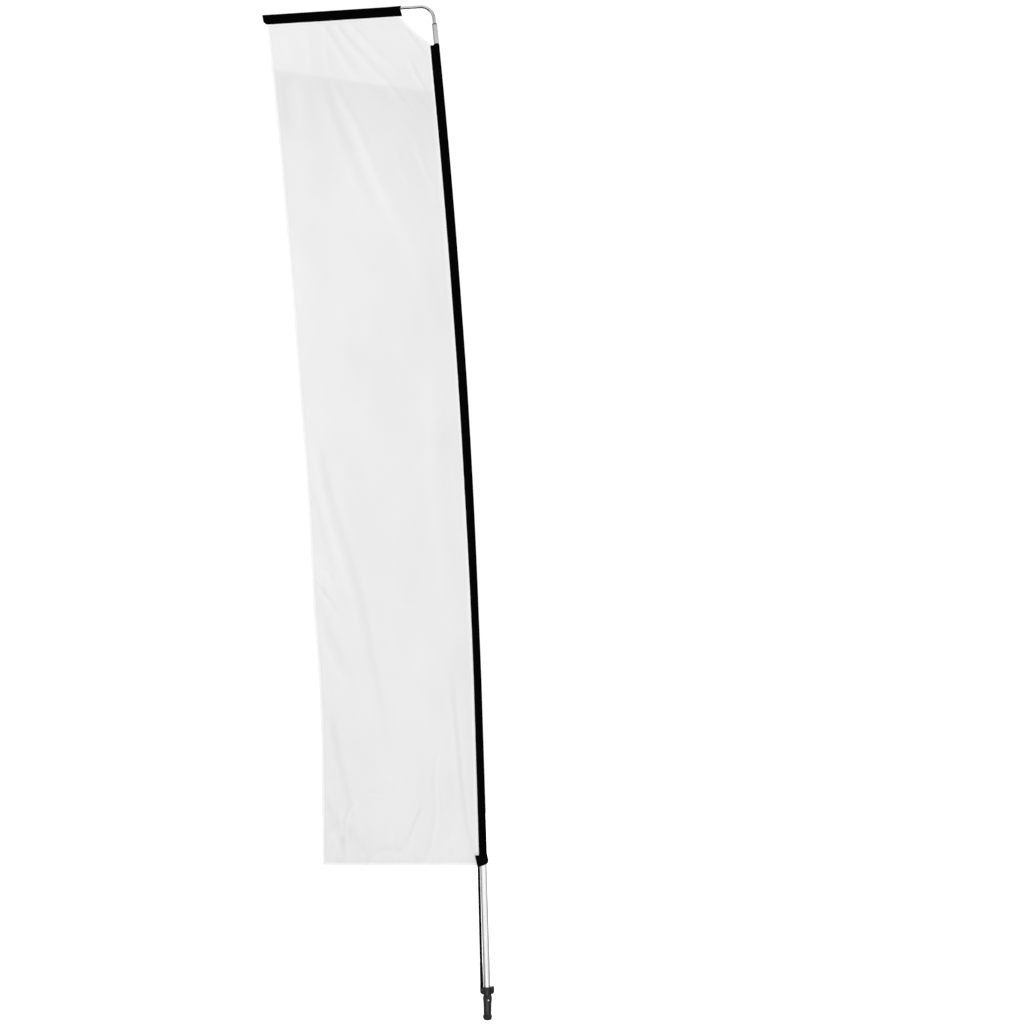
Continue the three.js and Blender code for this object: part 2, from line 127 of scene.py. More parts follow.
def arm_path():
    """The arm's axis: a leg out of the pole, a round bend, and the straight arm."""
    leg_end = corner - leg_way * bend_reach
    side = np.array([-leg_way[2], 0, leg_way[0]])
    turns = np.linspace(0, bend_turn, 25)[1:-1, None]
    bend = leg_end + leg_way * np.sin(turns) * ARM_BEND + side * (1 - np.cos(turns)) * ARM_BEND
    leg = top_point + leg_way * np.linspace(-ARM_INSERT, leg_length - bend_reach, 8)[:, None]
    straight = corner + arm_way * np.linspace(bend_reach, arm_length, 12)[:, None]
    return np.vstack([leg, bend, straight])


foot_frame = Matrix.Translation((0, 0, CROSS_Z)) @ Matrix.Rotation(-LEAN, 4, "Y")
top_frame = Matrix.Translation(top_point) @ Matrix.Rotation(-TOP_LEAN, 4, "Y")

# ---- mesh helpers

SHARP = 40  # degrees: corners steeper than this stay crisp


def around(sides):
    return np.linspace(0, 2 * math.pi, sides, endpoint=False)


def runs(points):
    """The distance along a polyline at each of its points."""
    return np.concatenate([[0], np.cumsum(np.linalg.norm(np.diff(points, axis=0), axis=1))])


def ways(path):
    """The unit direction of a path at each of its points."""
    way = np.gradient(path, axis=0)
    return way / np.linalg.norm(way, axis=1)[:, None]


def smoothstep(low, high, value):
    t = np.clip((value - low) / (high - low), 0, 1)
    return t * t * (3 - 2 * t)


def between(ends, share):
    return ends[0] + (ends[1] - ends[0]) * share


def curved(a, b, c, t):
    """A curve from a to c that is drawn towards b."""
    return a * (1 - t) ** 2 + b * 2 * t * (1 - t) + c * t * t


def grid_faces(rows, columns, wrap_columns=False, wrap_rows=False):
    """Quads of a grid of points listed row by row."""
    r = np.arange(rows if wrap_rows else rows - 1)
    c = np.arange(columns if wrap_columns else columns - 1)
    r, c = np.meshgrid(r, c, indexing="ij")
    r2, c2 = (r + 1) % rows, (c + 1) % columns
    quads = np.stack([r * columns + c, r * columns + c2, r2 * columns + c2, r2 * columns + c], -1)
    return quads.reshape(-1, 4).tolist()


def caps(rows, sides):
    """The two faces that close a stack of rings."""
    last = (rows - 1) * sides
    return [list(range(sides)), list(range(last, last + sides))]


def add_mesh(name, points, faces, material, sharp=None, place=None):
    mesh = bpy.data.meshes.new(name)
    mesh.from_pydata(np.asarray(points, float).tolist(), [], faces)
    shape = bmesh.new()
    shape.from_mesh(mesh)
    if place is not None:
        shape.transform(place)
    shape.transform(Matrix.Scale(0.001, 4))
    bmesh.ops.recalc_face_normals(shape, faces=shape.faces)
    shape.to_mesh(mesh)
    shape.free()
    mesh.shade_smooth()
    if sharp:
        mesh.set_sharp_from_angle(angle=math.radians(sharp))
    mesh.materials.append(material)
    obj = bpy.data.objects.new(name, mesh)
    scene.collection.objects.link(obj)
    return obj


def softened(profile, radius=0.5, closed=True):
    """A profile with its corners rounded off."""
    points = [np.array(p, float) for p in profile]
    made = []
    for i, p in enumerate(points):
        if not closed and i in (0, len(points) - 1):
            made.append(p)
            continue
        before, after = points[i - 1] - p, points[(i + 1) % len(points)] - p
        a = p + before * min(radius / np.linalg.norm(before), 0.45)
        b = p + after * min(radius / np.linalg.norm(after), 0.45)
        for t in np.linspace(0, 1, 4):
            made.append(curved(a, p, b, t))
    return made


def turned(name, profile, material, place=None, sides=72, solid=False):
    """A turned piece. A ring's profile closes on itself; a solid's ends are capped."""
    rings = [np.insert(circle(r, sides), 2, z, axis=1) for r, z in profile]
    faces = grid_faces(len(rings), sides, wrap_columns=True, wrap_rows=not solid)
    if solid:
        faces += caps(len(rings), sides)
    return add_mesh(name, np.vstack(rings), faces, material, SHARP, place)


def swept_rings(path, sections):
    """Rings of a sweep. A section lists (towards the cloth, along Y) pairs, for all or for each point."""
    way = ways(path)
    side = np.stack([-way[:, 2], np.zeros(len(path)), way[:, 0]], -1)
    sections = np.broadcast_to(sections, (len(path),) + np.shape(sections)[-2:])
    rings = path[:, None, :] + side[:, None, :] * sections[:, :, 0:1]
    rings[:, :, 1] += sections[:, :, 1]
    return rings


def circle(radius, sides):
    turn = around(sides)
    return np.stack([radius * np.cos(turn), radius * np.sin(turn)], -1)


def skinned(name, outside, inside, material, sharp=SHARP):
    """A hollow piece: an outer and an inner skin, each a stack of rings, joined at the open ends."""
    points = np.concatenate([outside, inside[::-1]])
    faces = grid_faces(len(points), points.shape[1], wrap_columns=True, wrap_rows=True)
    return add_mesh(name, points.reshape(-1, 3), faces, material, sharp)


def tube(name, path, outer, inner, material, sides=64):
    outside, inside = (swept_rings(path, circle(radius, sides)) for radius in (outer, inner))
    return skinned(name, outside, inside, material)


def settle(obj):
    """Applies a piece's modifiers to its mesh."""
    graph = bpy.context.evaluated_depsgraph_get()
    mesh = bpy.data.meshes.new_from_object(obj.evaluated_get(graph), depsgraph=graph)
    obj.modifiers.clear()
    obj.data = mesh


def combined(obj, others, operation):
    """Adds or cuts other pieces, which are then removed."""
    for other in others:
        change = obj.modifiers.new("shape", "BOOLEAN")
        change.operation = operation
        change.solver = "EXACT"
        change.object = other
    settle(obj)
    for other in others:
        bpy.data.objects.remove(other)
    return obj


# ---- materials


class Look:
    """A procedural material: a principled shader and the few nodes that feed it."""

    def __init__(self, name, color, roughness, metallic=0.0, specular=0.5):
        self.material = bpy.data.materials.new(name)
        self.material.use_nodes = True
        self.tree = self.material.node_tree
        self.shader = self.tree.nodes["Principled BSDF"]
        self.color = color
        self.set("Base Color", (*color, 1))
        self.set("Roughness", roughness)
        self.set("Metallic", metallic)
        self.set("Specular IOR Level", specular)
        self.place = self.node("ShaderNodeTexCoord").outputs["Object"]

    def set(self, socket, value):
        self.shader.inputs[socket].default_value = value

    def node(self, kind, inputs=None, **settings):
        made = self.tree.nodes.new(kind)
        for key, value in settings.items():
            setattr(made, key, value)
        for key, value in (inputs or {}).items():
            if isinstance(value, bpy.types.NodeSocket):
                self.tree.links.new(value, made.inputs[key])
            else:
                made.inputs[key].default_value = value
        return made

    def math(self, operation, a, b=0.0):
        return self.node("ShaderNodeMath", {0: a, 1: b}, operation=operation).outputs[0]

    def noise(self, scale, stretch=(1, 1, 1), detail=3.0):
        place = self.node("ShaderNodeMapping", {"Vector": self.place, "Scale": stretch}).outputs[0]
        inputs = {"Vector": place, "Scale": scale, "Detail": detail}
        return self.node("ShaderNodeTexNoise", inputs).outputs["Fac"]

    def ranged(self, value, low, high, start=0.3, end=0.7):
        inputs = {"Value": value, "From Min": start, "From Max": end, "To Min": low, "To Max": high}
        return self.node("ShaderNodeMapRange", inputs).outputs[0]

    def tint(self, value, low, high):
        """Lets a value between 0 and 1 move the colour from low to high times its own."""
        dark, pale = ((*[c * share for c in self.color], 1) for share in (low, high))
        mix = self.node("ShaderNodeMix", {0: value, 6: dark, 7: pale}, data_type="RGBA")
        self.link(mix.outputs[2], "Base Color")

    def link(self, value, socket):
        self.tree.links.new(value, self.shader.inputs[socket])

    def bump(self, height, distance, strength=1.0):
        inputs = {"Height": height, "Distance": distance, "Strength": strength}
        before = self.shader.inputs["Normal"].links
        if before:
            inputs["Normal"] = before[0].from_socket
        self.link(self.node("ShaderNodeBump", inputs).outputs[0], "Normal")

    def weave(self, pitch):
        """A plain weave's height: threads cross over and under every pitch metres."""
        parts = self.node("ShaderNodeSeparateXYZ", {0: self.place}).outputs
        a, b = (self.math("SINE", self.math("MULTIPLY", parts[k], math.pi / pitch)) for k in "XZ")
        return self.math("MULTIPLY_ADD", self.math("MULTIPLY", a, b), 0.5)


def brushed(name, color, roughness, lines, depth):
    """Drawn aluminium: fine lines along the tube, faint handling marks, an even sheen."""
    look = Look(name, color, roughness, metallic=1.0)
    streaks = look.noise(lines, (1, 1, 0.012), 4.0)
    smudge = look.noise(9.0, (1, 1, 0.35), 3.0)
    look.tint(look.ranged(smudge, 0, 1), 0.95, 1.03)
    both = look.math("ADD", look.ranged(streaks, -0.06, 0.06), look.ranged(smudge, -0.04, 0.05))
    look.link(look.math("ADD", both, roughness), "Roughness")
    look.bump(streaks, depth, 0.35)
    return look.material


def bright(name, color, roughness):
    """Polished or plated metal: handling marks show in its gloss alone."""
    look = Look(name, color, roughness, metallic=1.0)
    smudge = look.noise(28.0, detail=4.0)
    look.link(look.ranged(smudge, roughness - 0.03, roughness + 0.05), "Roughness")
    look.tint(look.ranged(look.noise(9.0), 0, 1), 0.97, 1.02)
    return look.material


def moulded(name, color, roughness):
    """Moulded plastic: a fine spark-eroded grain, rubbed a little smoother in places."""
    look = Look(name, color, roughness, specular=0.4)
    grain = look.noise(2600.0, detail=2.0)
    rub = look.noise(55.0, detail=4.0)
    look.tint(look.ranged(rub, 0, 1), 0.82, 1.22)
    look.link(look.ranged(rub, roughness - 0.09, roughness + 0.1), "Roughness")
    look.bump(grain, 0.00012, 0.6)
    return look.material


def cloth(name, color, roughness, pitch, depth, sheen, vary, specular=0.2, layered_with_painted_shade=False):
    """Woven or knitted polyester. With its flag set, it reads a paleness value from the mesh: paler where
    it is sewn double, and with painted shade and painted highlights.
    """
    look = Look(name, color, roughness, specular=specular)
    look.set("Sheen Weight", sheen)
    look.set("Sheen Roughness", 0.45)
    slow = look.ranged(look.noise(5.0, (1, 1, 0.6), 4.0), 0, 1)
    if layered_with_painted_shade:
        # The mesh value holds the doubled hems together with painted shade and painted highlights.
        layers_and_painted_shade = look.node("ShaderNodeAttribute", attribute_name="layers_and_painted_shade").outputs["Fac"]
        slow = look.math("ADD", look.math("MULTIPLY", slow, 0.15), layers_and_painted_shade)
    look.tint(slow, 1 - vary, 1 + vary)
    look.bump(look.noise(420.0, (1, 1, 0.08), 2.0), depth * 0.7, 0.35)
    look.bump(look.weave(pitch), depth, 0.6)
    return look.material


aluminium = brushed("aluminium_tube", (0.93, 0.932, 0.936), 0.36, 900.0, 0.00004)
polished = bright("polished_arm", (0.86, 0.862, 0.866), 0.11)
spring_steel = brushed("spring_steel", (0.52, 0.53, 0.54), 0.24, 1200.0, 0.00003)
button_steel = bright("button_steel", (0.84, 0.84, 0.84), 0.14)
black_plastic = moulded("black_plastic", (0.012, 0.012, 0.0125), 0.30)
natural_plastic = moulded("natural_plastic", (0.66, 0.65, 0.60), 0.42)
black_fabric = cloth("black_fabric", (0.0011, 0.0011, 0.0012), 0.92, 0.0011, 0.00022, 0.0, 0.3, 0.02)
webbing = cloth("black_webbing", (0.0016, 0.0016, 0.0018), 0.9, 0.0019, 0.0004, 0.0, 0.3, 0.04)
white_fabric = cloth("white_fabric", (0.825, 0.825, 0.827), 0.86, 0.0012, 0.00012, 0.04, 0.13, 0.2, True)
white_thread = cloth("white_thread", (0.80, 0.80, 0.80), 0.7, 0.0004, 0.00005, 0.0, 0.01)
cord_cover = cloth("elastic_cord", (0.0020, 0.0020, 0.0022), 0.8, 0.0007, 0.00015, 0.0, 0.2, 0.06)

# The hidden pieces keep their CAD shape.
for look, nodes in (
    (black_plastic, "thrust_washer lower_mouth_collar middle_mouth_collar arm_foot_plug arm_tip_cap"),
    (black_plastic, "lower_lock_core middle_lock_core"),
    (natural_plastic, "lower_lock_ring middle_lock_ring"),
    (spring_steel, "button_leaf"),
    (aluminium, "middle_tube"),
):
    for node in nodes.split():
        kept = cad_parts[node].data.materials
        kept.clear()
        kept.append(look)


def put(obj, body, slot, *stands_for):
    """Seats a piece on its body and hides the CAD nodes that it stands for. Its finish's name, slot, is
    not used.
    """
    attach(obj, body)
    if stands_for:
        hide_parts(*stands_for)


# ---- tension cord

CORD_RADIUS = 4.8
CORD_TOP = np.array([-34.3, 0, 599.4])
CORD_FOOT = np.array(foot_frame @ Vector((-21.4, 0, 43.0)))
CORD_TUCK = 5  # how far the cord runs on inside the patch
CORD_BARE = 7  # the unwhipped end in the lug's slot
WHIPPED_TO = 100  # how far up the foot is whipped with fine line
WRAP, WRAP_HIGH = 1.6, 0.15  # the whipping's pitch and relief
STRANDS, STRAND_LAY = 8, 26  # strands each way round, and the run in which they turn once
STRAND_HIGH = 0.28


def tension_cord():
    """An elastic cord with a braided cover: two sets of strands cross in opposite turns."""
    way = (CORD_TOP - CORD_FOOT) / np.linalg.norm(CORD_TOP - CORD_FOOT)
    length = np.linalg.norm(CORD_TOP - CORD_FOOT) + CORD_TUCK
    along = np.arange(0, length, 0.9)
    sides = 40
    s, t = np.meshgrid(along, around(sides), indexing="ij")
    turns = math.pi * STRANDS * s / STRAND_LAY
    strands = np.maximum(np.cos(STRANDS * t + turns), np.cos(STRANDS * t - turns))
    braid = STRAND_HIGH * strands * smoothstep(WHIPPED_TO - 4, WHIPPED_TO, s)
    # The whipped foot grows thicker towards the lug, on its side towards the pole.
    foot_share = (1 - s / WHIPPED_TO).clip(0, 1)
    wraps = WRAP_HIGH * np.abs(np.sin(s * math.pi / WRAP))
    whipped = (0.5 + 1.5 * foot_share + wraps) * smoothstep(WHIPPED_TO + 2, WHIPPED_TO - 2, s)
    radius = CORD_RADIUS + braid + np.where(s < CORD_BARE, 0.1, whipped)
    shift = -1.0 * foot_share * smoothstep(CORD_BARE, 16, s)
    side = np.array([-way[2], 0, way[0]])
    points = CORD_FOOT + way * s[..., None] + side * (radius * np.cos(t) + shift)[..., None]
    points[..., 1] += radius * np.sin(t)
    faces = grid_faces(len(along), sides, wrap_columns=True) + caps(len(along), sides)
    obj = add_mesh("tension_cord_braid", points.reshape(-1, 3), faces, cord_cover)
    put(obj, "mast", "elastic_cord", "tension_cord")
    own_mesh(obj)


tension_cord()

# ---- foot: bush, coupling, button

BUTTON, BUTTON_HOLE = 3.5, 3.8

# Each profile lists (radius, height) pairs. The bush is the part that turns on the base's spigot.
BUSH = [(0.01, 46), (9.75, 46), (9.75, 0), (14.4, 0), (14.4, 1.6), (11.5, 1.6), (11.5, 25.4)]
BUSH += [(12.2, 26.4), (12.2, 27.6), (11.5, 28.6), (11.5, 49), (0.01, 49)]

# The coupling's outline from its foot to its rim, and its bore from its floor to its foot.
COUPLING_OUT = [(15.9, 3.2), (18.0, 8.5), (17.0, 14.5), (15.3, 20), (15.5, 36)]
COUPLING_OUT += [(16.1, 62), (16.9, 74), (18.0, 84), (16.8, 91), (14.9, 97.2)]
COUPLING_RIM = [(13.2, 97.2), (7, 97.2)]
COUPLING_IN = [(7, 95), (7, 56), (7, 50), (12, 50), (12, 30)]
COUPLING_IN += [(12.7, 29.3), (12.7, 24.7), (12, 24), (12, 3.2)]
POLE_SOCKET = [(12.8, -24), (12.8, 30)]


def foot_pieces():
    obj = turned("spigot_bush", softened(BUSH, 0.5, closed=False), black_plastic, solid=True)
    put(obj, "spindle", "black_plastic", "spigot_liner")

    outline = np.array(COUPLING_OUT)
    knots = runs(outline)
    outline = catmull(outline, knots, np.linspace(0, knots[-1], 60))
    body = turned("coupling_body", [*COUPLING_IN, *outline, *COUPLING_RIM], black_plastic, sides=96)
    hole = [(BUTTON_HOLE, 0), (BUTTON_HOLE, 19.5)]
    cutters = [
        turned("socket", POLE_SOCKET, black_plastic, foot_frame, solid=True),
        turned("hole", hole, black_plastic, button_frame(), 40, solid=True),
    ]
    combined(body, cutters, "DIFFERENCE")
    soften_edges(body, 0.35)
    put(body, "mast", "black_plastic", "coupling")

    dome = [(0.01, 9.4), (4.2, 9.4), (4.2, 10.3), (BUTTON, 10.3), (BUTTON, 17.0)]
    dome += [(BUTTON * math.cos(a), 17.0 + 1.8 * math.sin(a)) for a in np.linspace(0.12, 1.5, 12)]
    button = turned("snap_button_dome", dome, button_steel, button_frame(), 48, solid=True)
    put(button, "button", "button_steel", "snap_button")


def catmull(points, knots, at):
    """A smooth curve through points, one value for each place asked for."""
    slopes = np.gradient(points, knots, axis=0)
    k = np.clip(np.searchsorted(knots, at, side="right") - 1, 0, len(knots) - 2)
    span = (knots[k + 1] - knots[k])[:, None]
    t = ((at - knots[k]) / span[:, 0])[:, None]
    a, b = points[k], points[k + 1]
    return (
        a * (2 * t**3 - 3 * t**2 + 1)
        + slopes[k] * span * (t**3 - 2 * t**2 + t)
        + b * (3 * t**2 - 2 * t**3)
        + slopes[k + 1] * span * (t**3 - t**2)
    )


def button_frame():
    """+Z along the button's own line, out of the pole's axis towards the front."""
    place = foot_frame @ Matrix.Translation((0, 0, -1)) @ Matrix.Rotation(0.26, 4, "Z")
    return place @ Matrix.Rotation(math.pi / 2, 4, "X")


def soften_edges(obj, width, segments=2):
    """Rounds a piece's corners over a width."""
    edge = obj.modifiers.new("edges", "BEVEL")
    edge.width = width * 0.001
    edge.segments = segments
    edge.limit_method = "ANGLE"
    edge.angle_limit = math.radians(35)
    settle(obj)
    obj.data.shade_smooth()
    obj.data.set_sharp_from_angle(angle=math.radians(SHARP))


foot_pieces()

# ---- hook collar and cord stop

COLLAR_FROM, COLLAR_TO, COLLAR_RADIUS, COLLAR_BORE = 18, 48.6, 15.2, 12.8
LUG_REACH, LUG_HALF, LUG_PLATE, LUG_SLOT = 28, 9, 5.6, 21.4
SLOT_RADIUS, SLOT_HALF = 5.2, 3.5  # the cord's hole, and the way into it from the front
POCKET_BACK = 1.6  # the wall that closes a lug's pocket at the back


def plate(name, outline, depth, place, shift=0.0):
    """A moulded plate: an outline in the XZ plane, given depth along Y."""
    n = len(outline)
    front = [(x, shift - depth / 2, z) for x, z in outline]
    back = [(x, shift + depth / 2, z) for x, z in outline]
    faces = [list(range(n)), list(range(n, 2 * n))]
    faces += [[i, (i + 1) % n, n + (i + 1) % n, n + i] for i in range(n)]
    return add_mesh(name, front + back, faces, black_plastic, SHARP, place)


def lug_outline(inner, outer, top, bottom, corner_radius, way):
    """A lug seen from the front: square at the top, swept up to the collar below."""
    shoulder = bottom + (top - bottom) * 0.55
    curve = []
    for t in np.linspace(0, 1, 9):
        curve.append((curved(inner, outer, outer, t), curved(bottom, bottom + 2, shoulder, t)))
    for t in np.linspace(0, math.pi / 2, 6):
        x = outer - corner_radius * (1 - math.cos(t))
        curve.append((x, top - corner_radius * (1 - math.sin(t))))
    curve.append((inner, top))
    return [(x * way, z) for x, z in curve]


def hook_collar():
    rim = [(COLLAR_BORE, COLLAR_FROM), (COLLAR_RADIUS, COLLAR_FROM)]
    rim += [(COLLAR_RADIUS, COLLAR_TO), (COLLAR_BORE, COLLAR_TO)]
    body = turned("hook_collar_body", softened(rim, 0.7), black_plastic, foot_frame, 96)
    top, under = COLLAR_TO, COLLAR_TO - LUG_PLATE
    lugs = []
    for way in (1, -1):
        outline = lug_outline(13.9, LUG_REACH, top, COLLAR_FROM + 1.5, 2, way)
        lug = plate("lug", outline, LUG_HALF * 2, foot_frame)
        pocket = lug_outline(16.6, LUG_REACH - 1.8, under, COLLAR_FROM + 7, 1.5, way)
        slot = foot_frame @ Matrix.Translation((LUG_SLOT * way, 0, 0))
        low, high, half = under - 1, top + 1, SLOT_HALF
        channel = [(-half, low), (half, low), (half, high), (-half, high)]
        cutters = [
            plate("pocket", pocket, LUG_HALF * 2, foot_frame, -POCKET_BACK),
            turned("slot", [(SLOT_RADIUS, low), (SLOT_RADIUS, high)], black_plastic, slot, 48, True),
            plate("channel", channel, LUG_HALF + 1, slot, -(LUG_HALF + 1) / 2),
        ]
        lugs.append(combined(lug, cutters, "DIFFERENCE"))
    combined(body, lugs, "UNION")
    soften_edges(body, 0.45)
    put(body, "mast", "black_plastic", "hook_collar")

    bar = [(-4.4, -9), (4.4, -9), (4.4, 0), (-4.4, 0)]
    place = foot_frame @ Matrix.Translation((-LUG_SLOT, 0, under - GAP))
    stop = plate("cord_stop_bar", bar, 14.6, place, -0.5)
    soften_edges(stop, 1.6, 4)
    put(stop, "mast", "black_plastic", "cord_stop")


hook_collar()

# ---- tubes and arm


def tubes():
    outer, inner, start, end = LOWER
    lower = tube("lower_pole", pole_point(np.linspace(start, end, 9)), outer, inner, aluminium)
    put(lower, "mast", "aluminium_tube", "lower_tube")
    outer, inner, start, end = UPPER
    upper = tube("upper_pole", pole_point(np.linspace(start, end, 40)), outer, inner, aluminium)
    put(upper, "upper_mast", "aluminium_tube", "upper_tube")

    bore, skirt = ARM_RADIUS + GAP, UPPER[1] - GAP
    floor = -ARM_INSERT - 1.5
    bush = [(0.01, floor), (bore, floor), (bore, 4), (UPPER[0], 4)]
    bush += [(UPPER[0], GAP), (skirt, GAP), (skirt, floor - 3), (0.01, floor - 3)]
    socket = turned("arm_bush", softened(bush, 0.6, closed=False), black_plastic, top_frame, solid=True)
    put(socket, "upper_mast", "black_plastic", "arm_socket_bush")
    arm = tube("arm_rod", arm_path(), ARM_RADIUS, ARM_BORE, polished)
    put(arm, "arm", "polished_arm", "top_arm")


tubes()

# ---- sleeves

WALL = 0.6
SLEEVE_FROM, SLEEVE_TO = 560, 3776
ARM_SLEEVE_FROM, ARM_SLEEVE_TO = 343, 888
# Sizes as (distance along, size). A tail is how far a sleeve's flat side reaches towards the cloth.
POLE_SLEEVE_RADIUS = [(0, 15.4), (900, 15.0), (1255, 14.3), (1500, 12.7), (2440, 12.5), (2700, 11.3)]
POLE_SLEEVE_RADIUS += [(SLEEVE_TO, 11.0)]
POLE_SLEEVE_TAIL = [(SLEEVE_FROM, 16.9), (1250, 16.9), (1590, 18.8), (1990, 22.0), (2380, 22.8)]
POLE_SLEEVE_TAIL += [(2780, 24.4), (3180, 25.4), (SLEEVE_TO, 25.9)]
ARM_SLEEVE_RADIUS = [(ARM_SLEEVE_FROM, 9.9), (352, 9.4), (400, 8.3), (ARM_SLEEVE_TO, 7.9)]
ARM_SLEEVE_TAIL = [(ARM_SLEEVE_FROM, 31.6), (860, 31.4), (ARM_SLEEVE_TO, 29.5)]


def sleeve_section(radius, tail, edge):
    """A sleeve's outline: round at the pole, its flanks drawn in to a flat edge at tail."""
    reach = tail - edge
    flank = math.acos((radius - edge) / reach)
    turn = np.linspace(flank, 2 * math.pi - flank, 26)
    pole_part = np.stack([radius * np.cos(turn), radius * np.sin(turn)], -1)
    turn = np.linspace(-flank, flank, 5)
    tail_part = np.stack([reach + edge * np.cos(turn), edge * np.sin(turn)], -1)
    t = np.linspace(0, 1, 9)[1:-1, None]
    near_side = between((pole_part[-1], tail_part[0]), t)
    near_side[:, 1:] *= 1 - 0.32 * np.sin(math.pi * t)
    return np.vstack([pole_part, near_side, tail_part, near_side[::-1] * (1, -1)])


def rippled(rings, along, strength, seed):
    """Lets a sleeve's rings wander a little, as sewn cloth does along its seam."""
    for i, s in enumerate(along):
        for j in range(rings.shape[1]):
            p = rings[i, j]
            near = noise.noise(Vector((s * 0.021, j * 0.33, seed))) * 0.75
            fine = noise.noise(Vector((s * 0.085, j * 0.2, seed + 7))) * 0.35
            p[1] += (near + fine) * strength[j]
    return rings


def cut_ends(rings, sections, path, along, ends, reach=22):
    """Slants a sleeve's ends: each end has a rule from the place across to a shift along the path."""
    way = ways(path)
    for at, rule in zip((along[0], along[-1]), ends):
        near = np.clip(1 - np.abs(along - at) / reach, 0, 1)[:, None]
        rings += way[:, None, :] * (near * rule(sections[:, :, 0]))[..., None]
    return rings


def sleeve(name, path, along, radius, tail, seed, ends, closed_end=0):
    """A sewn sleeve. Its far end may be drawn shut over a length."""
    outer = np.array([sleeve_section(r, t, 1.3) for r, t in zip(radius, tail)])
    inner = np.array([sleeve_section(r - WALL, max(t - 9, r + WALL), 0.5) for r, t in zip(radius, tail)])
    if closed_end:
        left = np.abs(along[-1] - along)
        shrink = np.sqrt(np.clip(1 - (1 - left / closed_end).clip(0, 1) ** 2, 0.01, 1))
        outer[:, :, 1] *= shrink[:, None]
        inner[:, :, 1] *= np.maximum(shrink - 0.05, 0.01)[:, None]
    strength = 0.25 + 0.75 * smoothstep(0, 1, (outer[0, :, 0] / tail[0]))
    shell = rippled(swept_rings(path, outer), along, strength, seed)
    shell = cut_ends(shell, outer, path, along, ends)
    lining = cut_ends(swept_rings(path, inner), inner, path, along, ends)
    if closed_end:
        lining[-1] = lining[-2]
    return skinned(name, shell, lining, black_fabric, 60)


def pole_sleeve_size(s):
    """Outer radius and tail of the pole's sleeve: wide over the lower tube, slim at the top."""
    return [np.interp(s, *zip(*sizes)) for sizes in (POLE_SLEEVE_RADIUS, POLE_SLEEVE_TAIL)]


def sleeves():
    along = np.linspace(SLEEVE_FROM, SLEEVE_TO, 360)
    radius, tail = pole_sleeve_size(along)

    def mouth_cut(across_it):
        corner = 2.5 * smoothstep(-7.5, -11, across_it)
        return -1.5 - 5.0 * smoothstep(6, 15, across_it) - corner + 0.7 * np.sin(across_it * 0.9)

    ends = (np.zeros_like, mouth_cut)
    obj = sleeve("pole_sleeve_cloth", pole_point(along), along, radius, tail, 3.0, ends)
    put(obj, "upper_mast", "black_fabric", "pole_sleeve")

    closing = ARM_SLEEVE_TO - np.array([6, 4, 2.5, 1, 0])
    along = np.concatenate([np.linspace(ARM_SLEEVE_FROM, ARM_TIP, 90), closing])
    path = np.array([arm_point(a) for a in along])
    radius, tail = (np.interp(along, *zip(*sizes)) for sizes in (ARM_SLEEVE_RADIUS, ARM_SLEEVE_TAIL))

    def right_cut(across_it):
        return -4.0 * smoothstep(6, 30, across_it) - 1.6 * smoothstep(-3, -9, across_it)

    def left_cut(across_it):
        return -2.0 * smoothstep(-8, 18, across_it) - 11.0 * smoothstep(17, 32, across_it)

    obj = sleeve("arm_sleeve_cloth", path, along, radius, tail, 11.0, (right_cut, left_cut), 6.0)
    put(obj, "arm", "black_fabric", "arm_sleeve")


sleeves()

# ---- cloth panel

# The free edge from foot to top, as (x, z).
FREE_EDGE = [(-652, 607), (-653, 862), (-660, 1256), (-688, 1651), (-708, 2045), (-737, 2440)]
FREE_EDGE += [(-769, 2834), (-803, 3228), (-840, 3623), (-863, 3860), (-868, 3906)]
CHAMFER_PULL = (-296, 3897)  # where the cut corner's curve is drawn towards
TUCK = 7  # how far the cloth runs on inside the sleeves' seams
SEAM_WIDE = 5  # the doubled strip that shows beside a sleeve
HEM_SIDE, HEM_FOOT = 10, 11
CREASE_Z, CREASE_SLOPE, CREASE_DEPTH = 3744, 0.137, 24
WIDE, LONG = 610, 3330  # about what the cloth measures across and along
ROWS, COLUMNS = 430, 112
ARM_HANG = 33.2  # from the arm's axis down to where its sleeve's cloth ends
TUBE_CLEAR = 1.2  # kept between the tucked edge and the lower tube as the mast slides


def spaced(points, shares):
    """Points along a polyline at shares of its length."""
    knots = runs(points)
    at = np.asarray(shares) * knots[-1]
    return np.stack([np.interp(at, knots, points[:, k]) for k in range(2)], -1)


def panel_sides():
    """The cloth's free side, and its pole side with the cut corner, from the foot up as (x, z)."""
    edge = np.array(FREE_EDGE, float)
    left = catmull(edge, edge[:, 1], np.linspace(edge[0, 1], edge[-1, 1], 200))
    z = np.linspace(PANEL_FOOT, CHAMFER_Z, 200)
    table = np.linspace(0, POLE_LENGTH, 800)
    s = np.interp(z, pole_point(table)[:, 2], table)
    tail = np.maximum(pole_sleeve_size(s)[1] - TUCK, LOWER[0] + TUBE_CLEAR)
    lean = pole_lean(s)
    axis = pole_point(s)
    right = np.stack([axis[:, 0] - tail * np.cos(lean), axis[:, 2] - tail * np.sin(lean)], -1)
    hang = np.array([0, ARM_HANG - TUCK])
    a, c = right[-1], arm_point(CHAMFER_X)[::2] - hang
    t = np.linspace(0, 1, 40)[1:, None]
    cut = curved(a, np.array(CHAMFER_PULL), c, t)
    return np.vstack([left, arm_point(2 - left[-1, 0])[::2] - hang]), np.vstack([right, cut])


def edge_spaced(count, across_it, hem):
    """Shares of a width from 0 to 1, with narrow cells at the hem's step and at the seam's."""
    start = np.array([0, 0.5, 0.90, 1, 1.1, 1.2, 1.6]) * hem
    seam = TUCK + SEAM_WIDE
    end = across_it - np.array([seam + 4, seam + 0.6, seam, TUCK + 1, 2, 0])
    middle = np.linspace(start[-1], end[0], count - len(start) - len(end) + 2)[1:-1]
    return np.concatenate([start, middle, end]) / across_it


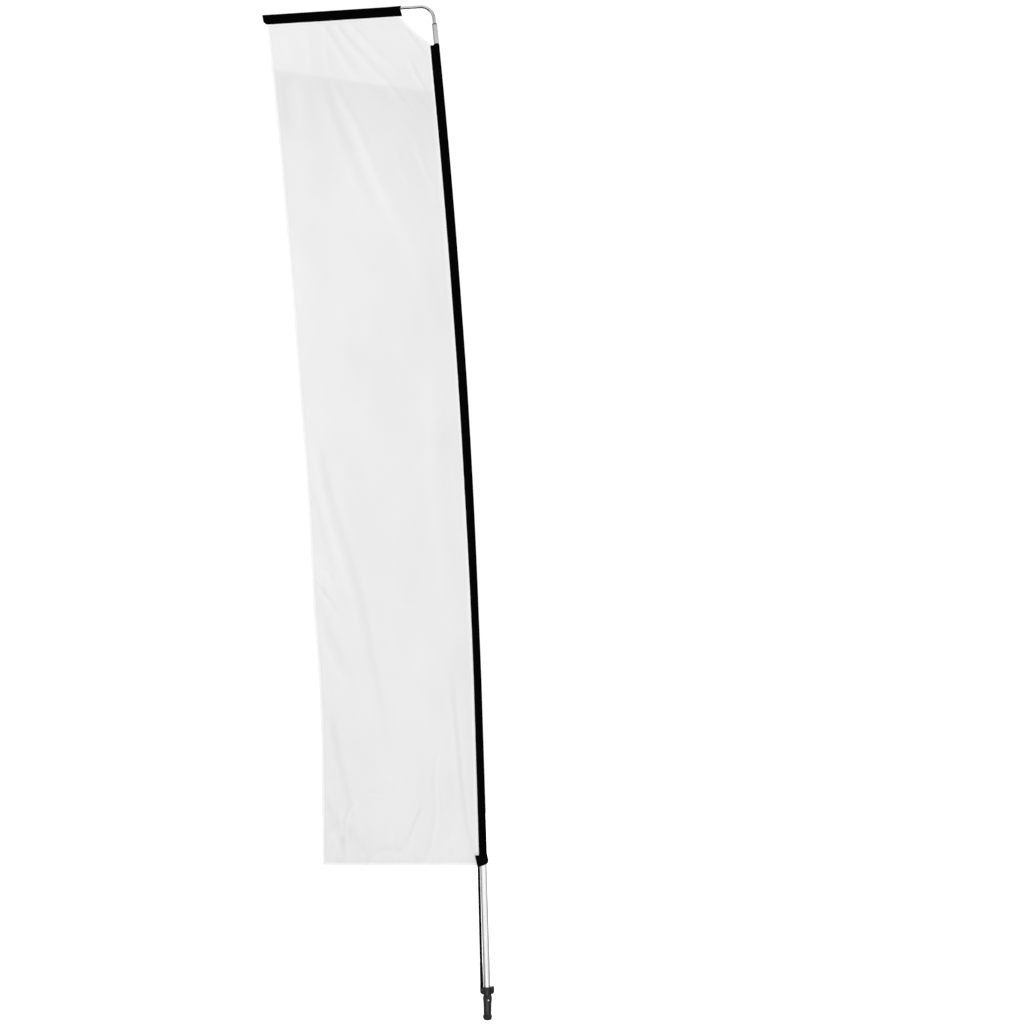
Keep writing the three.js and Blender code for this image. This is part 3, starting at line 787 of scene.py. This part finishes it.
def panel_grid():
    """A grid of (x, z) over the cloth. Rows follow the foot and turn to follow the top."""
    left, right = panel_sides()
    rows = edge_spaced(ROWS, LONG, HEM_FOOT)
    columns = edge_spaced(COLUMNS, WIDE, HEM_SIDE)
    lefts, rights = spaced(left, rows), spaced(right, rows)
    share = columns[None, :, None]
    return lefts[:, None, :] * (1 - share) + rights[:, None, :] * share, rows, columns


# The cloth's folds: the half width at the start and at the end, the height towards the front (a
# valley's is negative), and the x and z of the points that it follows. A fold fades over the last
# part of its line, so one that runs into an edge goes on past it.
FOLDS = [
    # Above the packing crease.
    (10, 12, 1.8, -645, 3960, -648, 3890, -640, 3820, -625, 3760, -600, 3690),
    (12, 18, 3, -662, 3940, -625, 3880, -590, 3825, -555, 3765, -515, 3715, -440, 3630),
    (11, 14, 3.4, -615, 3950, -580, 3897, -540, 3845, -490, 3785, -440, 3730, -385, 3685),
    (12, 14, 3, -440, 3730, -385, 3682, -345, 3630, -290, 3570),
    (11, 15, 2.8, -575, 3965, -530, 3912, -490, 3868, -440, 3812, -390, 3765, -290, 3665),
    (9, 11, -1.3, -605, 3955, -565, 3905, -525, 3862, -470, 3803, -415, 3742, -330, 3655),
    (9, 12, -1.2, -645, 3945, -605, 3885, -570, 3835, -520, 3775, -430, 3680),
    (9, 9, -1.2, -660, 3920, -650, 3860, -640, 3800),
    (18, 18, 1.3, -800, 3890, -786, 3820, -775, 3745),
    (18, 18, 1.8, -720, 3895, -704, 3820, -690, 3700),
    (8, 9, 1.8, -336, 3915, -286, 3850, -232, 3768),
    (7, 8, -1.4, -318, 3920, -262, 3842, -215, 3780),
    (9, 10, 2, -312, 3790, -275, 3712, -225, 3630),
    (7, 8, -1.4, -300, 3790, -258, 3710, -205, 3630),
    # The long folds below it.
    (12, 40, 4, -612, 3730, -588, 3650, -562, 3600, -530, 3550, -484, 3430,
     -434, 3305, -333, 3110, -240, 2940),
    (17, 34, -3, -655, 3730, -615, 3640, -592, 3570, -545, 3470, -488, 3340, -419, 3188, -350, 3030),
    (14, 24, -0.8, -600, 3725, -556, 3640, -515, 3560, -450, 3430, -390, 3300),
    (26, 40, 3, -668, 3712, -628, 3590, -585, 3460, -530, 3330, -460, 3130),
    (12, 13, -2, -510, 3720, -430, 3668, -340, 3590),
    (10, 11, -1.5, -400, 3705, -335, 3642, -270, 3570),
    (9, 9, -1.8, -310, 3685, -255, 3632, -200, 3570),
    (24, 28, -3, -800, 3735, -786, 3600, -770, 3440),
    (22, 30, 1.8, -735, 3730, -725, 3600, -700, 3450),
    (8, 10, 2.1, -296, 3470, -252, 3370, -190, 3225),
    (9, 12, 1.2, -376, 3470, -332, 3350, -282, 3235),
    (14, 18, 1.4, -345, 3560, -290, 3480, -226, 3340),
    (30, 30, 1.6, -300, 3060, -262, 2900, -215, 2700),
    # The free edge and the lower half.
    (17, 20, -4.2, -660, 2330, -628, 2150, -590, 2000, -528, 1800, -476, 1603,
     -440, 1400, -415, 1290, -360, 900),
    (15, 18, 2.8, -690, 2300, -660, 2150, -632, 2000, -572, 1800, -518, 1600, -455, 1390),
    (12, 14, -2.4, -694, 2130, -655, 1980, -612, 1800, -580, 1690),
    (15, 20, -4.2, -690, 1740, -640, 1600, -566, 1425, -480, 1280),
    (14, 17, 2.6, -670, 1560, -600, 1390, -520, 1240),
    (6, 8, 4.2, -670, 1710, -615, 1630, -560, 1556),
    (7, 8, -4.4, -680, 1735, -640, 1690, -586, 1640),
    (7, 8, 3.8, -690, 1820, -640, 1762, -600, 1720),
    (16, 11, -4.4, -612, 1230, -590, 1110, -572, 1010, -552, 910, -538, 850, -505, 690),
    (12, 12, 2.2, -640, 1180, -614, 1080, -588, 960),
    (5, 5, -2.8, -515, 870, -545, 826, -560, 780, -563, 730, -556, 640),
    (6, 6, 1.4, -500, 866, -531, 822, -546, 776, -551, 700),
    (14, 10, -5.6, -665, 935, -640, 870, -600, 790, -574, 722, -545, 600),
    (11, 12, -4.4, -572, 790, -520, 712, -480, 660, -430, 590, -400, 540),
    (12, 13, 2.4, -625, 740, -590, 690, -560, 625),
    (5, 6, -3, -248, 850, -280, 780, -302, 722, -328, 655),
    (7, 7, 1.3, -264, 846, -298, 782, -328, 716),
    (6, 7, -2.2, -190, 1086, -212, 930, -206, 850, -222, 700, -250, 620, -310, 480),
    (7, 8, 1.2, -178, 1086, -197, 930, -190, 850, -206, 700, -228, 620),
    (12, 5, -2.6, -140, 1420, -122, 1200, -108, 1054, -93, 900, -80, 802, -50, 660, 0, 440, 40, 200),
    (14, 12, 1.5, -160, 1380, -140, 1220, -124, 1054, -104, 850, -80, 700),
    (5, 5, -2, -150, 770, -140, 720, -139, 600),
    (5, 5, 1.2, -128, 772, -136, 722, -139, 650),
    (38, 32, 3, -240, 2640, -200, 2050, -160, 1600, -146, 1330),
    (5, 5, -2, -480, 898, -436, 892, -380, 884),
    (5, 5, -2, -484, 862, -440, 862, -384, 856),
    (5, 5, 1.6, -420, 936, -370, 944, -310, 900),
    (12, 12, -3, -470, 640, -400, 668, -330, 655, -268, 630),
    (10, 10, 1.6, -380, 622, -320, 650, -262, 660),
]


def distance_to(line, x, z):
    """Distance to a polyline, and the share of its length at the nearest point."""
    knots = runs(line)
    nearest = np.full(x.shape, np.inf)
    share = np.zeros(x.shape)
    for (x0, z0), step, start, length in zip(line, np.diff(line, axis=0), knots, np.diff(knots)):
        way = step / length
        t = np.clip((x - x0) * way[0] + (z - z0) * way[1], 0, length)
        away = np.hypot(x - x0 - way[0] * t, z - z0 - way[1] * t)
        closer = away < nearest
        nearest = np.where(closer, away, nearest)
        share = np.where(closer, (start + t) / knots[-1], share)
    return nearest, share


def rounded(line):
    """A fold's line with its corners smoothed."""
    knots = runs(line)
    return catmull(line, knots, np.linspace(0, knots[-1], 14))


def noise_at(x, z, wide, high, seed):
    values = [noise.noise(Vector((a / wide, b / high, seed))) for a, b in zip(x.ravel(), z.ravel())]
    return np.array(values).reshape(x.shape)


def fold_heights(x, z):
    y = np.zeros(x.shape)
    for start, end, height, *line in FOLDS:
        away, share = distance_to(rounded(np.reshape(line, (-1, 2)).astype(float)), x, z)
        fade = smoothstep(0, 0.18, share) * smoothstep(1, 0.6, share)
        half = start + (end - start) * share
        y += height * np.exp(-((away / half) ** 2)) * fade
    return y


def below_crease(x, z):
    """How far points lie below the packing crease, which crosses the top from the free edge."""
    return CREASE_Z - (x + 833) * CREASE_SLOPE - z


def bell(value, middle, width):
    return np.exp(-(((value - middle) / width) ** 2))


def relief(x, z, rows, columns, folds):
    """How far each point of the cloth stands towards the front."""
    # The cloth turns back below its packing crease and slowly comes true again.
    below = below_crease(x, z)
    turned_back = 1 - np.exp(-np.maximum(below, 0) / 170) - smoothstep(150, 1100, below)
    y = folds - CREASE_DEPTH * turned_back - 2.0 * np.exp(np.minimum(below, 0) / 60)
    # The slow billow of the whole sheet and the flutter of its free edge.
    y += 5.0 * np.sin((z - 700) / 620) * np.sin(math.pi * columns[None, :]) ** 2
    free = np.exp(-columns[None, :] / 0.11)
    y += free * (3.5 * np.sin(z / 175 + 0.6) + 2.0 * np.sin(z / 64 + 1.2))
    # Crumples from packing: strong in the lower corner and along the foot, faint elsewhere.
    crumple = 0.12 + 1.25 * bell(x, -640, 110) * bell(z, 760, 240)
    crumple += 1.1 * bell(x, -640, 60) * bell(z, 1680, 150) + 0.9 * bell(z, 630, 110)
    y += crumple * (2.6 * noise_at(x, z, 46, 60, 1.0) + 1.5 * noise_at(x, z, 19, 26, 5.0))
    y += 1.1 * noise_at(x, z, 120, 420, 9.0)
    # The sheet lies flat where it is sewn in.
    hold = smoothstep(0, 0.035, 1 - columns)[None, :] * smoothstep(0, 0.008, 1 - rows)[:, None]
    return y * hold


def layers_and_painted_shade_at(x, z, rows, columns, folds):
    """Where the cloth is sewn double, the groove of its stitches, and how pale it is, with painted shade
    and painted highlights in that paleness.
    """
    from_side, from_foot = columns[None, :] * WIDE, rows[:, None] * LONG
    from_pole, from_arm = (1 - columns[None, :]) * WIDE, (1 - rows[:, None]) * LONG
    side, foot = from_side / HEM_SIDE, from_foot / HEM_FOOT
    hem = np.maximum(smoothstep(1.08, 0.98, side), smoothstep(1.08, 0.98, foot))
    seam = TUCK + SEAM_WIDE
    strip = smoothstep(seam + 0.6, seam, np.minimum(from_pole, from_arm))
    double = np.maximum(hem, strip)
    groove = bell(from_foot, HEM_FOOT * 1.1, 1.6)
    groove = np.maximum(groove, 0.6 * bell(from_side, HEM_SIDE * 1.1, 1.4))
    # Painted shade and light: one layer of cloth is darkest just under the crease, where the turned-back
    # cloth would lie in shade, and painted paler towards the free edge, where it curls towards the key
    # lamp.
    below = below_crease(x, z)
    tone_with_painted_shade = 0.40 - 0.22 * bell(np.maximum(below, 0), 0, 290) * smoothstep(-7, 7, below)
    tone_with_painted_shade = tone_with_painted_shade + 0.08 * np.exp(-from_side / 120) * bell(z, 2500, 700)
    # Darker towards the lower free corner; painted shade along the stitch grooves; painted highlights on
    # the fold ridges, paler where they stand forward.
    tone_with_painted_shade = tone_with_painted_shade - 0.08 * bell(x, -640, 160) * bell(z, 900, 500) - 0.3 * groove * (1 - hem) + 0.024 * folds
    return double, groove, tone_with_painted_shade * (1 - double) + 0.72 * double


def flag_panel():
    grid, rows, columns = panel_grid()
    x, z = grid[..., 0], grid[..., 1]
    folds = fold_heights(x, z)
    double, groove, tone_with_painted_shade = layers_and_painted_shade_at(x, z, rows, columns, folds)
    pucker = double * 0.35 * (np.sin(z / 2.9) * np.cos(x / 3.3))
    y = pucker - relief(x, z, rows, columns, folds)
    half = 0.3 + 0.5 * double - 0.12 * groove
    front = np.stack([x, y - half, z], -1).reshape(-1, 3)
    back = np.stack([x, y + half, z], -1).reshape(-1, 3)
    count = len(front)
    faces = grid_faces(*x.shape)
    faces += (np.array(faces)[:, ::-1] + count).tolist()
    index = np.arange(count).reshape(x.shape)
    border = np.concatenate([index[0], index[1:, -1], index[-1, -2::-1], index[-2:0:-1, 0]])
    following = np.roll(border, -1)
    faces += np.stack([border, border + count, following + count, following], -1).tolist()
    obj = add_mesh("flag_cloth", np.vstack([front, back]), faces, white_fabric, 50)
    layers_and_painted_shade = obj.data.attributes.new("layers_and_painted_shade", "FLOAT", "POINT")
    layers_and_painted_shade.data.foreach_set("value", np.tile(tone_with_painted_shade.ravel(), 2).astype(np.float32))
    return obj, np.stack([x, y, z], -1), half


STITCH_FACES = grid_faces(4, 4, wrap_columns=True) + caps(4, 4)


def stitch_row(middle, half, pitch=3.4, gap=0.9, thick=0.28):
    """Threads along a line of the cloth, on its front and on its back: each is a short bent rod."""
    knots = runs(middle)
    starts = np.arange(pitch, knots[-1] - pitch, pitch)
    points, faces = [], []
    for side in (-1, 1):
        for at in starts + (pitch / 2 if side > 0 else 0):
            along = at + np.linspace(0, pitch - gap, 4)
            line = np.stack([np.interp(along, knots, middle[:, k]) for k in range(3)], -1)
            lift = np.interp(along, knots, half) + thick * np.array([-0.6, 0.6, 0.6, -0.6])
            line[:, 1] += side * lift
            way = line[-1] - line[0]
            way /= np.linalg.norm(way)
            across_it = np.array([-way[2], 0, way[0]]) * thick
            out = np.array([0, side * thick, 0])
            ring = np.array([across_it, out, -across_it, -out])
            first = len(points)
            points.extend((line[:, None, :] + ring[None]).reshape(-1, 3))
            faces += [[first + i for i in face] for face in STITCH_FACES]
    return points, faces


def panel_stitches(middle, half, rows, columns):
    """The rows of stitches: one beside each hem and one along each sleeve's seam."""
    seam = TUCK + SEAM_WIDE / 2
    side, pole = np.searchsorted(columns, [0.78 * HEM_SIDE / WIDE, 1 - seam / WIDE])
    foot, arm = np.searchsorted(rows, [0.78 * HEM_FOOT / LONG, 1 - seam / LONG])
    points, faces = [], []
    for cut in (np.s_[:, side], np.s_[foot, :], np.s_[:, pole], np.s_[arm, :]):
        more, sides = stitch_row(middle[cut], half[cut])
        faces += [[i + len(points) for i in face] for face in sides]
        points += more
    return add_mesh("flag_stitches", points, faces, white_thread)


panel, middle, half = flag_panel()
stitches = panel_stitches(middle, half, *panel_grid()[1:])
for piece in (panel, stitches):
    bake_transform(piece)
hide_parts("flag_panel")

# ---- tack patch


# The patch at its top and at its bottom edge: how far it reaches left and right of the pole's axis.
PATCH_LEFT, PATCH_RIGHT = (23.9, 32.7), (20.6, 15.9)
# The heights of its lower and its upper edge, at its right end and at its left end.
PATCH_LOW, PATCH_HIGH = (618.2, 600.8), (652.0, 645.8)
PATCH_HALF, PATCH_TIP, PATCH_WALL = 16.0, 2.4, 1.7  # half depth at the pole and at the left end


def patch_ring(share, inset):
    """The patch's outline at a share of its height: a D round the pole, drawn in to the left."""
    left, right = between(PATCH_LEFT, share), between(PATCH_RIGHT, share)
    ring = []
    for c, s in circle(1, 72):
        half = PATCH_HALF - inset
        if c > 0:
            b = (left - inset) * c
            half = between((half, PATCH_TIP - inset * 1.6), smoothstep(0, 1, c**1.5))
            y = half * math.copysign(abs(s) ** 0.6, s)
        else:
            b, y = (right - inset) * c, half * s
        b_share = (b + right) / (left + right)
        low = between(PATCH_LOW, b_share) + 7 * max(0, 1 - b_share / 0.13) ** 2.2
        z = between((low, between(PATCH_HIGH, b_share)), share)
        ring.append((-math.tan(LEAN) * (z - CROSS_Z) - b, y, z))
    return ring


def tack_patch():
    """Webbing folded round the sleeve's foot; the cord is sewn into its lower corner."""
    skins = [[patch_ring(share, inset) for share in np.linspace(0, 1, 22)] for inset in (0, PATCH_WALL)]
    obj = skinned("tack_webbing", *np.array(skins), webbing, 50)
    put(obj, "upper_mast", "black_fabric", "tack_patch")


tack_patch()

# ---- stage and light


def stage_floor():
    """A white floor. What the flag itself sees of it glows as a light: dark near its foot and brighter
    further forward.
    """
    look = Look("floor", (0.93, 0.93, 0.93), 0.9, specular=0.1)
    look.set("Emission Color", (1, 1, 1, 1))
    look.set("Emission Strength", 0.62)
    parts = look.node("ShaderNodeSeparateXYZ", {0: look.place}).outputs
    glow = look.ranged(parts["Y"], 0.86, 0.05, -0.8, -0.1)
    # A pale strip right in front of the foot shows as the soft light down the coupling.
    strip = look.ranged(look.math("ABSOLUTE", parts["X"]), 1.9, 0, 0.05, 0.13)
    strip = look.math("MULTIPLY", strip, look.ranged(parts["Y"], 1, 0, -0.12, -0.04))
    strip = look.math("MULTIPLY", strip, look.ranged(parts["Y"], 0, 1, -0.6, -0.4))
    glow = look.math("ADD", glow, strip)
    bounce = look.node("ShaderNodeBsdfDiffuse", {"Color": (0.3, 0.3, 0.3, 1)}).outputs[0]
    front = look.node("ShaderNodeEmission", {"Strength": glow}).outputs[0]
    felt = look.node("ShaderNodeAddShader", {0: bounce, 1: front}).outputs[0]
    seen = look.node("ShaderNodeLightPath").outputs["Is Camera Ray"]
    mix = look.node("ShaderNodeMixShader", {0: seen, 1: felt, 2: look.shader.outputs[0]})
    look.tree.links.new(mix.outputs[0], look.tree.nodes["Material Output"].inputs[0])
    rim = np.insert(circle(5000, 96), 2, -0.5, axis=1)
    add_mesh("floor", rim, [list(range(96))], look.material)


def stage_card():
    """A black card under the arm, which only shows as the dark line in the arm's polish."""
    look = Look("card", (0.01, 0.01, 0.01), 1.0, specular=0.0)
    bend = [(-1500, 3680), (-1100, 3430), (-500, 3250), (300, 3250)]
    ends = [[(x, y, z) for y, z in bend] for x in (-1500, -190)]
    card = add_mesh("card", ends[0] + ends[1], grid_faces(2, len(bend)), look.material)
    for rays in ("camera", "diffuse", "transmission", "shadow", "volume_scatter"):
        setattr(card, "visible_" + rays, False)


def stage_world():
    """White to the camera. To the flag it is a room, bright in front and overhead and dim behind."""
    world = bpy.data.worlds.new("studio")
    scene.world = world
    world.use_nodes = True
    tree = world.node_tree
    tree.nodes.clear()
    make, link = tree.nodes.new, tree.links.new
    output = make("ShaderNodeOutputWorld")
    mix = make("ShaderNodeMixShader")
    path = make("ShaderNodeLightPath").outputs
    seen, lit = make("ShaderNodeBackground"), make("ShaderNodeBackground")
    seen.inputs["Color"].default_value = (1, 1, 1, 1)
    seen.inputs["Strength"].default_value = 1.05
    lit.inputs["Strength"].default_value = 0.5
    parts = make("ShaderNodeSeparateXYZ")
    link(make("ShaderNodeTexCoord").outputs["Generated"], parts.inputs[0])

    def ramp(axis, *ends):
        node = make("ShaderNodeMapRange")
        link(parts.outputs[axis], node.inputs["Value"])
        for socket, value in zip(("From Min", "From Max", "To Min", "To Max"), ends):
            node.inputs[socket].default_value = value
        return node.outputs[0]

    def join(operation, first, *others):
        for other in others:
            node = make("ShaderNodeMath")
            node.operation = operation
            link(first, node.inputs[0])
            link(other, node.inputs[1])
            first = node.outputs[0]
        return first

    front, above = ramp("Y", -0.6, 0.5, 1.0, 0.26), ramp("Z", 0.5, 0.9, 0.0, 1.5)
    left, right = ramp("X", -0.98, -0.7, 0.75, 0.0), ramp("X", 0.7, 0.98, 0.0, 1.6)
    room = join("MAXIMUM", front, above, left, right)
    # The metal near the top also mirrors a bright ground, far off in front.
    ahead, below = ramp("Y", -0.95, -0.7, 1.0, 0.0), ramp("Z", -0.05, 0.07, 2.0, 0.0)
    far = join("MULTIPLY", below, ahead, path["Is Glossy Ray"])
    link(join("ADD", room, far), lit.inputs["Color"])
    link(path["Is Camera Ray"], mix.inputs[0])
    link(lit.outputs[0], mix.inputs[1])
    link(seen.outputs[0], mix.inputs[2])
    link(mix.outputs[0], output.inputs[0])


def stage_lamps():
    for name, size, power, location, aim in (
        ("key", (3.6, 3.6), 360, (-4.8, -6.2, 6.4), (-0.4, 0, 2.1)),
        ("fill", (3.4, 3.4), 30, (4.2, -5.0, 2.6), (-0.3, 0, 1.8)),
        ("back", (3.4, 2.4), 110, (-0.6, 5.5, 1.5), (-0.4, 0, 2.2)),
    ):
        data = bpy.data.lights.new(name, "AREA")
        data.shape = "RECTANGLE"
        data.size, data.size_y = size
        data.energy = power
        lamp = bpy.data.objects.new(name, data)
        lamp.location = location
        way = Vector(aim) - Vector(location)
        lamp.rotation_euler = way.to_track_quat("-Z", "Y").to_euler()
        scene.collection.objects.link(lamp)
        lamp.visible_glossy = name != "key"  # its mirror image would burn out the upper tube


stage_floor()
stage_card()
stage_world()
stage_lamps()
scene.view_settings.view_transform = "Standard"

bpy.context.view_layer.update()
